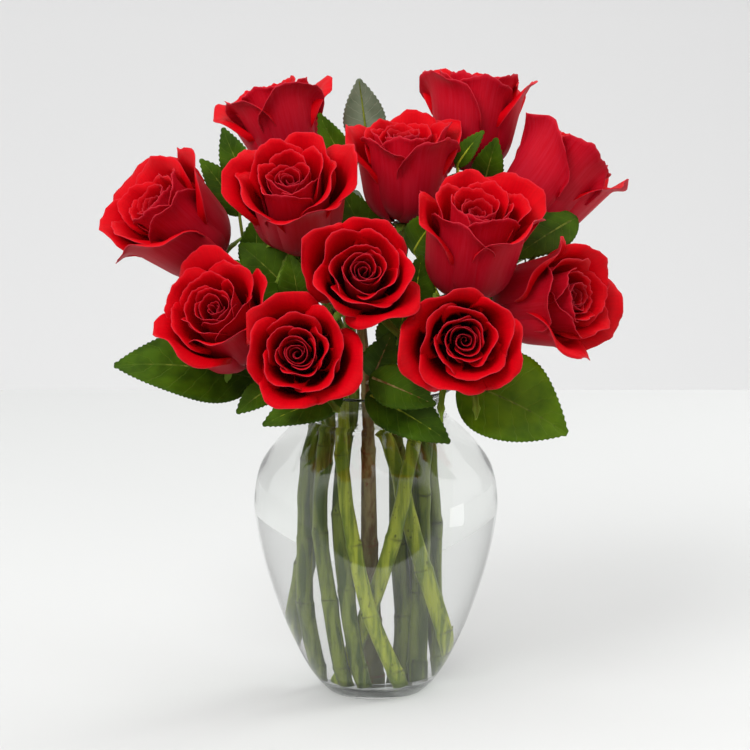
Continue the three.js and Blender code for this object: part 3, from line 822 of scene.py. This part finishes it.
leaf_under = leaf_material("rose leaf, underside", "#76806a", "#5c6852", "#98a088", 0.6, 0.5)
leaf_upper = leaf_material("waxy rose leaf, upper side", "#42600a", "#2a4204", "#66802a", 0.5, 0.25)
# Painted light: a lighter copy of the upper skin, for the broad leaf that catches light from above.
lit_leaf_upper = leaf_material("rose leaf, upper side, lightened as painted light", "#5e7e0a", "#466406", "#7c9430", 0.5, 0.22)
sepal_skin = leaf_material("green sepal", "#7c9a34", "#557020", "#a0b060", 0.55, 0.2)
# Each blade has its upper skin in one slot and its underside in the next.
FOLIAGE_SKINS = [leaf_upper, leaf_under, lit_leaf_upper, leaf_under, sepal_skin, sepal_skin]
LEAF_SLOT = 0
LIT_LEAF_SLOT = 2
SEPAL_SLOT = 4
LIT_LEAF_WIDTH = 60

# ---------------------------------------------------------------------------
# Each stem with its hip, five bent-back sepals, and the leaves that grow on it, as one green piece.
# ---------------------------------------------------------------------------
SEPAL_COLUMNS = 6
SEPAL_ROWS = 16
SEPALS = 5
SEAT_RADIUS = 4.5
SEAT_DROP = 2.4
NODE_SPACING = 44
NODE_ASIDES = (-4, -2.6, -1.4, -0.7, 0, 0.7, 1.4, 2.6)
STEM_STEP = 5
ZIGZAG = 0.9
# The hip: (how far below the head, radius).
HIP_OUTLINE = [(13, 3.3), (11, 4.2), (9, 5.4), (7, 6.3), (5, 6.6), (3, 6.6), (1, 6.4)]


def walk_along(line):
    """How far along the line each of its points lies."""
    walked = [0]
    for here, there in zip(line, line[1:]):
        walked.append(walked[-1] + (there - here).length)
    return walked


def point_at(line, walked, distance):
    """The point of the line at a distance along it."""
    i = min(len(line) - 2, max(0, bisect.bisect(walked, distance) - 1))
    return line[i].lerp(line[i + 1], (distance - walked[i]) / (walked[i + 1] - walked[i]))


def sepal_angle(rose, index):
    """Which way round the hip a sepal grows."""
    return math.radians(rose["turn"] + 72 * index + 12 * draw(rose["seed"], 200 + index))


def add_sepal(bm, uv_layer, rose, index, turn, foot):
    """One narrow sepal under the head, bent back, with small side lobes."""
    angle = sepal_angle(rose, index)
    length = 24 + 5 * draw(rose["seed"], 210 + index)
    start = 96 + 8 * draw(rose["seed"], 220 + index)
    curl = 34 + 22 * draw(rose["seed"], 230 + index)
    out = Vector((math.cos(angle), math.sin(angle), 0))
    across = Vector((-math.sin(angle), math.cos(angle), 0))
    grid = bmesh.ops.create_grid(bm, x_segments=SEPAL_COLUMNS, y_segments=SEPAL_ROWS, size=1)
    flat = {vertex: (vertex.co.x, (vertex.co.y + 1) / 2) for vertex in grid["verts"]}
    for vertex, (u, s) in flat.items():
        lean = math.radians(start + curl * s * 0.5)
        half = 3.2 * (1 - s) ** 0.8 + 0.35
        lobe = 1.1 * max(0, math.sin(11 * s + index)) ** 6 if abs(u) > 0.99 else 0
        point = out * (SEAT_RADIUS + length * s * math.sin(lean)) + across * u * (half + lobe)
        point += Vector((0, 0, -SEAT_DROP + length * s * math.cos(lean) + 0.3 * half * (1 - u * u)))
        vertex.co = turn @ point + foot
    for face in {face for vertex in flat for face in vertex.link_faces}:
        face.material_index = SEPAL_SLOT
        for loop in face.loops:
            u, s = flat[loop.vert]
            loop[uv_layer].uv = ((u + 1) / 2, s)


# Those of the five sepals that stand away from their heads, as long strips.
# tip: where the strip ends. lift: how far its middle bows, as (x, y, z).
LONG_SEPALS = [
    dict(rose="front_right", tip=(60, -88, 192), lift=(4, 0, -6)),
    dict(rose="front_right", tip=(40, -84, 190), lift=(-4, 0, -4)),
    dict(rose="front_left", tip=(-22, -84, 196), lift=(4, -2, -6)),
    dict(rose="centre", tip=(20, -86, 238), lift=(6, -2, -6)),
    dict(rose="upper_left", tip=(-26, -42, 272), lift=(2, -4, -6)),
]
LONG_SEPAL_HALF = 2.6


def add_long_sepal(bm, uv_layer, sepal, base):
    """A sepal that stands away from its head: a narrow strip from the hip, bowed and curled at its tip."""
    along = Vector(sepal["tip"]) - base
    length = along.length
    along.normalize()
    across = along.cross(Vector((0, -1, 0.2))).normalized()
    out = across.cross(along)
    grid = bmesh.ops.create_grid(bm, x_segments=SEPAL_COLUMNS, y_segments=SEPAL_ROWS, size=1)
    flat = {vertex: (vertex.co.x, (vertex.co.y + 1) / 2) for vertex in grid["verts"]}
    for vertex, (u, s) in flat.items():
        half = LONG_SEPAL_HALF * (1 - s) ** 0.7 + 0.4
        lobe = 1.3 * max(0, math.sin(9 * s + 1)) ** 8 if abs(u) > 0.99 else 0
        bow = Vector(sepal["lift"]) * 4 * s * (1 - s)
        curl = out * 5 * max(0, s - 0.7) * math.sin(7 * s)
        middle = base + along * length * s + bow + curl
        vertex.co = middle + across * u * (half + lobe) + out * 0.5 * half * u * u
    for face in {face for vertex in flat for face in vertex.link_faces}:
        face.material_index = SEPAL_SLOT
        for loop in face.loops:
            u, s = flat[loop.vert]
            loop[uv_layer].uv = ((u + 1) / 2, s)


for name, rose in ROSES.items():
    seed = rose["seed"]
    skin = STEM_SKINS.get(name, shaded_stem_skin)
    line = stem_line(rose)
    foot = head_foot(rose)
    turn = head_turn(rose)
    up_head = Vector(rose["faces"]).normalized()
    walked = walk_along(line)
    nodes = [12 + 8 * draw(seed, 300)]
    while nodes[-1] + NODE_SPACING * 1.3 < walked[-1]:
        nodes.append(nodes[-1] + NODE_SPACING + 9 * draw(seed, 300 + len(nodes)))
    stops = [STEM_STEP * i for i in range(int(walked[-1] / STEM_STEP))]
    stops += [node + aside for node in nodes for aside in NODE_ASIDES]
    stops = sorted(stop for stop in stops if 0 <= stop < walked[-1])
    stem_points = []
    radii = []
    scars = []
    for stop in stops:
        order, past = min(enumerate(stop - node for node in nodes), key=lambda pair: abs(pair[1]))
        near = abs(past)
        zigzag = Vector((math.cos(seed), math.sin(seed), 0)) * (-1) ** order
        stem_points.append(point_at(line, walked, stop) + zigzag * ZIGZAG * (1 - 2 * near / NODE_SPACING))
        swelling = 0.4 * math.exp(-((near / 1.6) ** 2)) + 0.3 * math.exp(-(((past + 3) / 3) ** 2))
        radii.append(FOOT_RADIUS + (TOP_RADIUS - FOOT_RADIUS) * stop / walked[-1] + swelling)
        scars.append((-1) ** order * 0.8 * math.exp(-((near / 0.6) ** 2)))
    hip_line = [foot - up_head * below for below, radius in HIP_OUTLINE]
    hip_radii = [radius for below, radius in HIP_OUTLINE]

    green_mesh = bmesh.new()
    scar_layer = green_mesh.verts.layers.float.new("scar")
    sheets = bmesh.new()
    sheet_map = sheets.loops.layers.uv.new("leaf")
    add_tube(green_mesh, stem_points + hip_line, radii + hip_radii, STEM_SIDES, scars + [0] * len(HIP_OUTLINE))
    for order, node in enumerate(nodes):
        along = (point_at(line, walked, node + 2) - point_at(line, walked, node - 2)).normalized()
        way = 2.4 * order + seed
        aside = along.cross(Vector((math.cos(way), math.sin(way), 0))).normalized()
        seat = point_at(line, walked, node + 1) + aside * (FOOT_RADIUS - 0.6)
        aim = Vector((0, 0, 1)).rotation_difference(along * 0.8 + aside * 0.6).to_matrix().to_4x4()
        bud = bmesh.ops.create_cone(
            green_mesh, cap_ends=True, segments=8, radius1=1.8, radius2=0.3, depth=4.5,
            matrix=Matrix.Translation(seat) @ aim,
        )
        for vertex in bud["verts"]:
            vertex[scar_layer] = 0.5
    for leaf in LEAVES:
        if leaf["rose"] != name:
            continue
        # The broadest leaf takes the lighter upper skin, which paints in the light falling on it.
        add_leaf(sheets, sheet_map, leaf, LIT_LEAF_SLOT if leaf["width"] >= LIT_LEAF_WIDTH else LEAF_SLOT)
        start = line[WATER_POINTS + round(leaf["start"] * BEND_POINTS / 5)]
        end = leaf_point(leaf, 0, 0.06)
        length, along, across, face = leaf_frame(leaf)
        knee = start.lerp(end, 0.55) - face * 0.1 * (end - start).length
        shares = [i / 12 for i in range(13)]
        stalk = [start * (1 - t) ** 2 + knee * 2 * t * (1 - t) + end * t * t for t in shares]
        rib = [leaf_point(leaf, 0, 0.06 + 0.9 * i / 14) - face * 0.25 for i in range(1, 15)]
        widths = [1.25 - 0.25 * i / 12 for i in range(13)] + [0.95 - 0.7 * i / 13 for i in range(14)]
        add_tube(green_mesh, stalk + rib, widths, 8)
    bent_back = list(range(SEPALS))
    for sepal in LONG_SEPALS:
        if sepal["rose"] != name:
            continue
        reach = turn.inverted() @ (Vector(sepal["tip"]) - foot)
        bearing = math.atan2(reach.y, reach.x)
        bent_back.remove(max(bent_back, key=lambda index: math.cos(sepal_angle(rose, index) - bearing)))
        seat = Vector((SEAT_RADIUS * math.cos(bearing), SEAT_RADIUS * math.sin(bearing), -SEAT_DROP))
        add_long_sepal(sheets, sheet_map, sepal, turn @ seat + foot)
    for index in bent_back:
        add_sepal(sheets, sheet_map, rose, index, turn, foot)
    bmesh.ops.recalc_face_normals(green_mesh, faces=green_mesh.faces)
    stem = finish_piece("green_stem_" + name, green_mesh, [skin])
    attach(stem, "root")
    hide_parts("stem_" + name)
    foliage = finish_piece("foliage_" + name, sheets, FOLIAGE_SKINS)
    thick = foliage.modifiers.new("leaf thickness", "SOLIDIFY")
    thick.thickness = LEAF_THICKNESS * MM
    thick.offset = 0
    thick.material_offset = 1
    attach(foliage, "root")
    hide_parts("stem_" + name)
